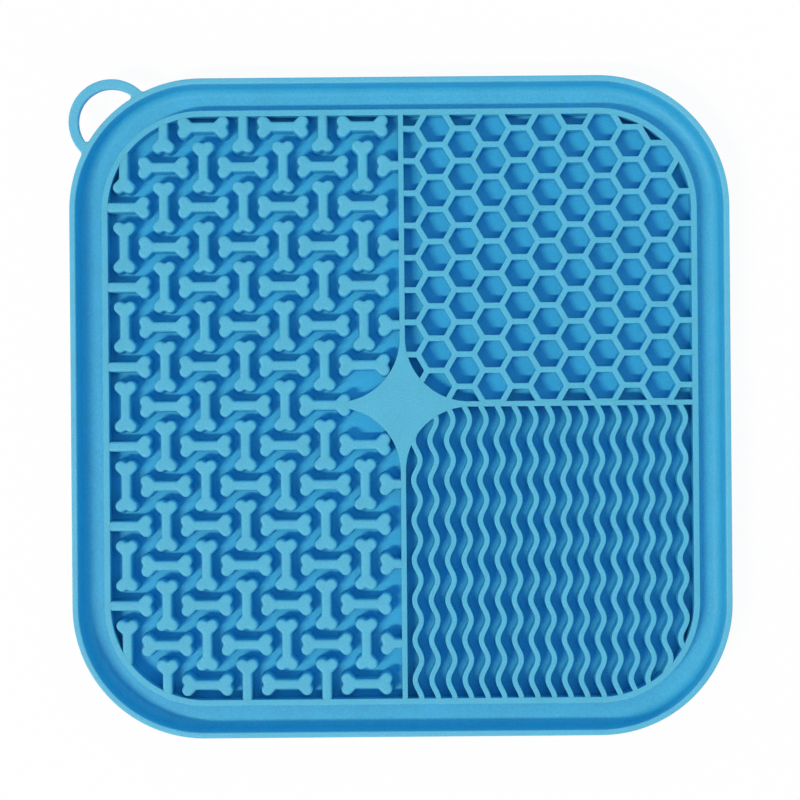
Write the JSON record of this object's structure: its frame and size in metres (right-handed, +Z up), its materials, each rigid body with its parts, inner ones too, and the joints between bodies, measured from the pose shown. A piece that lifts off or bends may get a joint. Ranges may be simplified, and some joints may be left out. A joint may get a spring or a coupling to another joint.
{
  "type": "lick mat",
  "caption": "Square silicone lick mat: a shallow rimmed tray with bone, honeycomb and wave reliefs, a corner hanging loop and suction cups beneath.",
  "frame": {"origin": "middle of the mat's outline, on the surface that it stands on", "axes": "+X to the right and +Y to the top of the mat as seen from above with the loop at the upper left, +Z up through the reliefs"},
  "size_m": [0.2, 0.2, 0.013],
  "materials": {
    "silicone": "matte, fine grained moulded silicone, light sky blue"
  },
  "bodies": {
    "root": {"base_sheet": "silicone", "outer_rim": "silicone", "hanging_loop": "silicone", "inner_frame": "silicone", "upper_divider": "silicone", "lower_divider": "silicone", "right_divider": "silicone", "center_star": "silicone", "lying_bones": "silicone", "upright_bones": "silicone", "edge_bones": "silicone", "honeycomb": "silicone", "wave_ribs": "silicone", "suction_cups": "silicone"}
  },
  "joints": []
}
